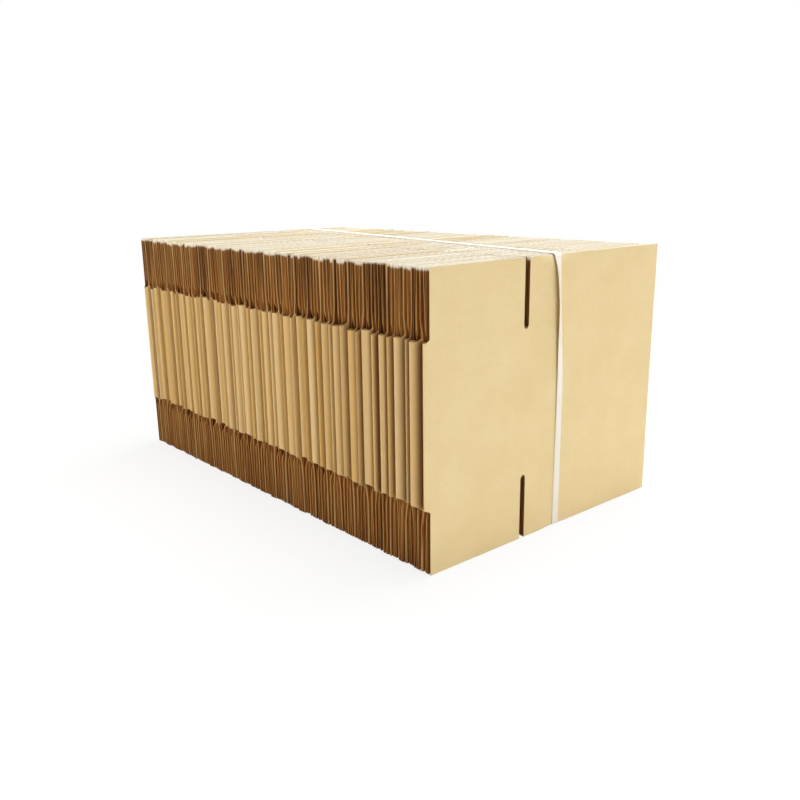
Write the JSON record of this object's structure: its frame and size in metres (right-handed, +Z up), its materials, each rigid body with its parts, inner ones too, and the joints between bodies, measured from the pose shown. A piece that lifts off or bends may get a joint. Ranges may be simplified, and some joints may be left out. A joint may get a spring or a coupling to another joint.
{
  "type": "strapped bundle of flattened cardboard boxes",
  "caption": "Strapped bundle of small slotted shipping cartons, folded flat and stood on edge, with plain kraft walls and flaps and one flat white strap.",
  "frame": {"origin": "middle of the bundle's base, on the floor", "axes": "+Z up, -Y towards the front carton's face, +Y back through the stack, X along the flat width of the cartons"},
  "size_m": [0.2358, 0.3852, 0.1902],
  "materials": {
    "kraft_board": "matte",
    "strap_plastic": "satin"
  },
  "bodies": {
    "root": {"flat_box_01": "kraft_board", "flat_box_02": "kraft_board", "flat_box_03": "kraft_board", "flat_box_04": "kraft_board", "flat_box_05": "kraft_board", "flat_box_06": "kraft_board", "flat_box_07": "kraft_board", "flat_box_08": "kraft_board", "flat_box_09": "kraft_board", "flat_box_10": "kraft_board", "flat_box_11": "kraft_board", "flat_box_12": "kraft_board", "flat_box_13": "kraft_board", "flat_box_14": "kraft_board", "flat_box_15": "kraft_board", "flat_box_16": "kraft_board", "flat_box_17": "kraft_board", "flat_box_18": "kraft_board", "flat_box_19": "kraft_board", "flat_box_20": "kraft_board", "flat_box_21": "kraft_board", "flat_box_22": "kraft_board", "flat_box_23": "kraft_board", "flat_box_24": "kraft_board", "flat_box_25": "kraft_board", "flat_box_26": "kraft_board", "flat_box_27": "kraft_board", "flat_box_28": "kraft_board", "flat_box_29": "kraft_board", "flat_box_30": "kraft_board", "flat_box_31": "kraft_board", "flat_box_32": "kraft_board", "flat_box_33": "kraft_board", "flat_box_34": "kraft_board", "flat_box_35": "kraft_board", "flat_box_36": "kraft_board", "flat_box_37": "kraft_board", "flat_box_38": "kraft_board", "flat_box_39": "kraft_board", "flat_box_40": "kraft_board", "flat_box_41": "kraft_board", "flat_box_42": "kraft_board", "flat_box_43": "kraft_board", "flat_box_44": "kraft_board", "flat_box_45": "kraft_board", "flat_box_46": "kraft_board", "flat_box_47": "kraft_board", "flat_box_48": "kraft_board", "flat_box_49": "kraft_board", "flat_box_50": "kraft_board", "strap": "strap_plastic"}
  },
  "joints": []
}
